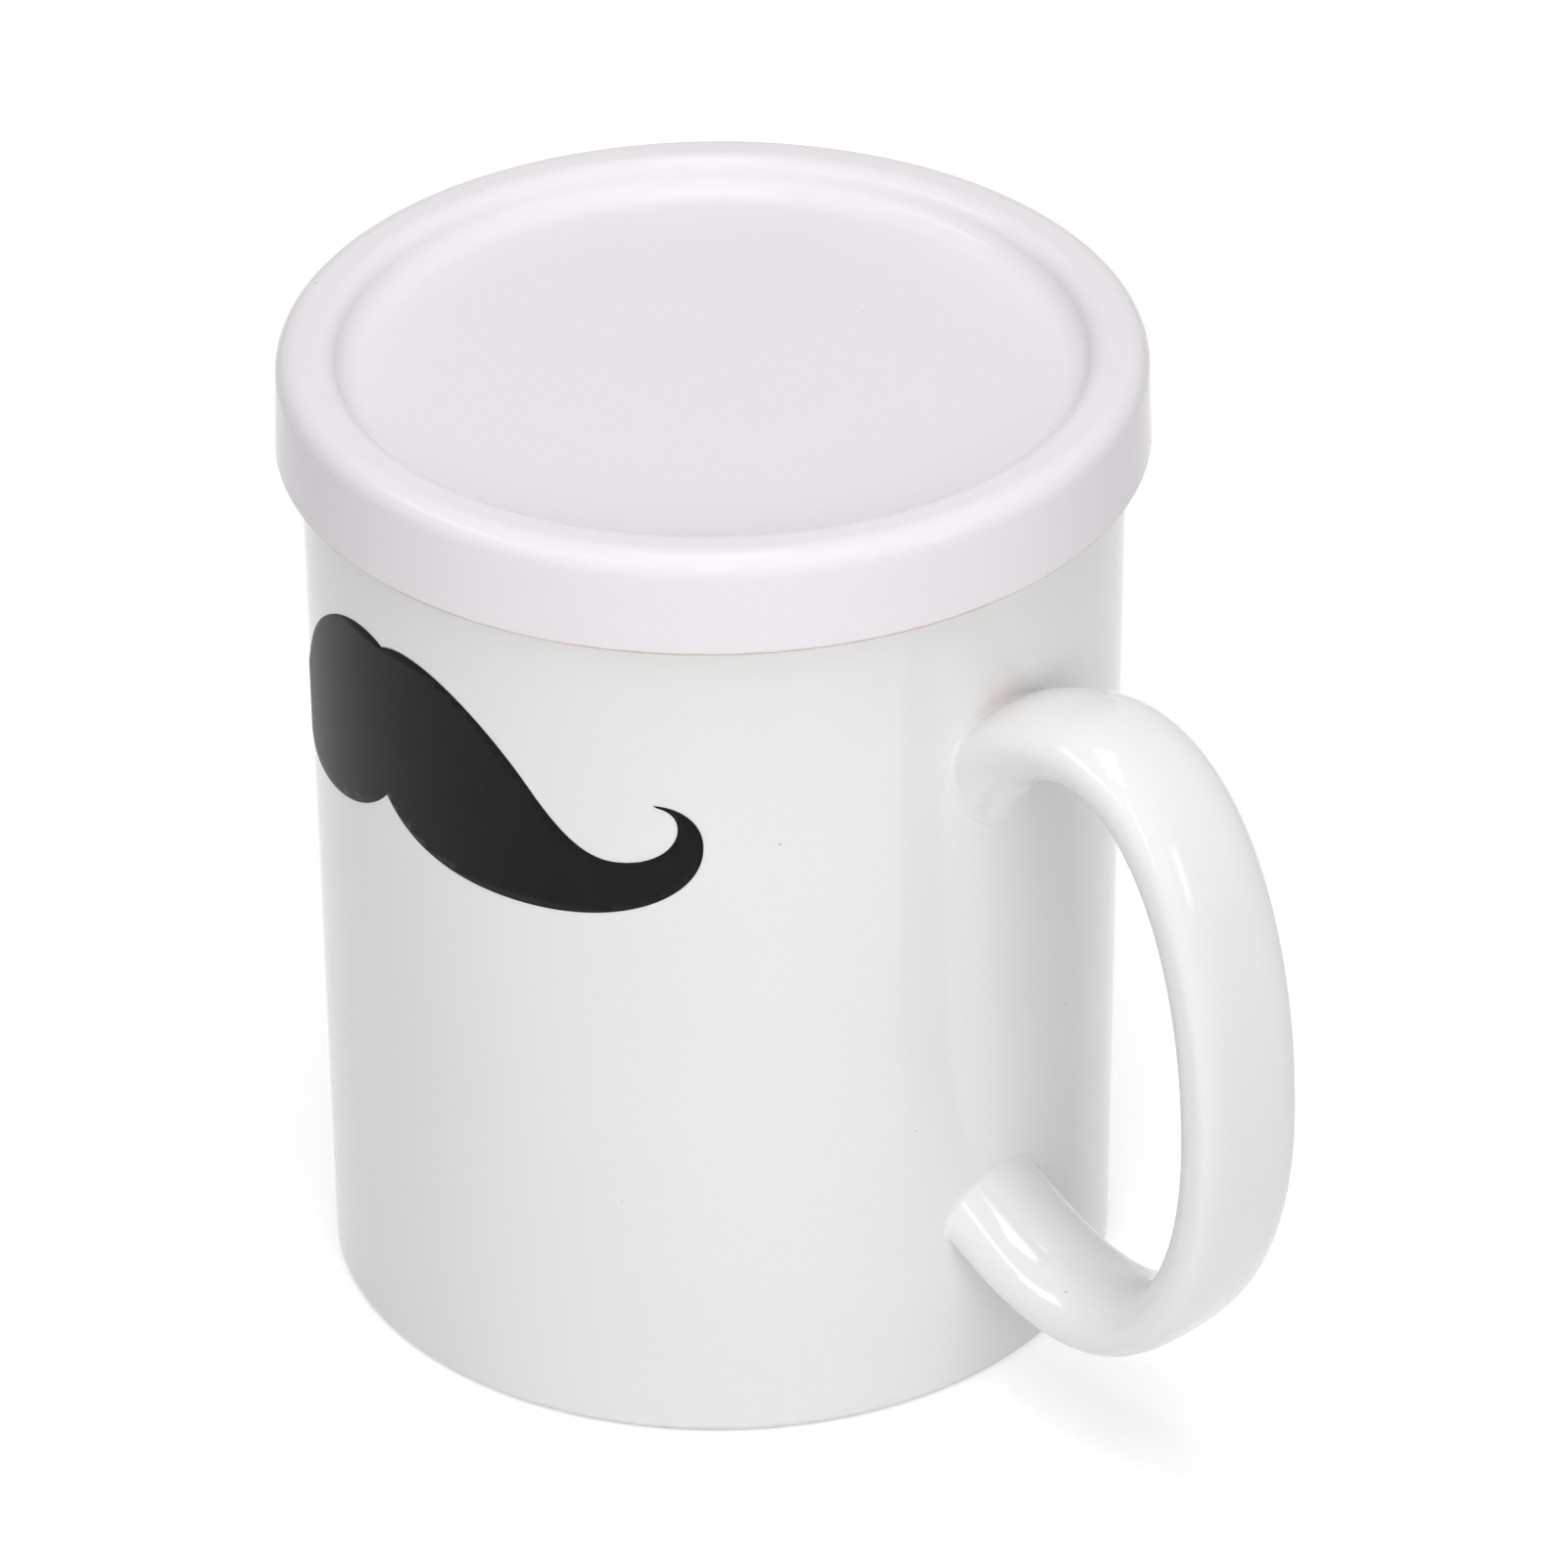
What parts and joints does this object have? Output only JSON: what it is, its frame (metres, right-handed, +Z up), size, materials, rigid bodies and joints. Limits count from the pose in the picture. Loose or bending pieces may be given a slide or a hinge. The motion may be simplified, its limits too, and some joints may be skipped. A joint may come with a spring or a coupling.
{
  "type": "lidded mug",
  "caption": "Straight-sided glazed ceramic mug with a strap handle, a printed moustache and a cap lid that lifts off.",
  "frame": {"origin": "centre of the foot ring, on the mug's axis", "axes": "+Z up along the mug's axis, +X through the handle, the print faces about -Y"},
  "size_m": [0.1187, 0.0868, 0.1035],
  "materials": {
    "body_glaze": "glossy white glaze, bare clay on the foot ring",
    "print_ink": "charcoal overglaze transfer, glossy",
    "lid_glaze": "glossy white glaze, bare clay on the lower edge of the skirt"
  },
  "bodies": {
    "cup": {"mug_body": "body_glaze", "handle": "body_glaze", "moustache_print": "print_ink"},
    "lid": {"lid": "lid_glaze"}
  },
  "joints": [
    {"name": "lid_lift", "type": "slide", "parent": "cup", "child": "lid", "axis": [0, 0, 1], "range_m": [0, 0.08]}
  ]
}
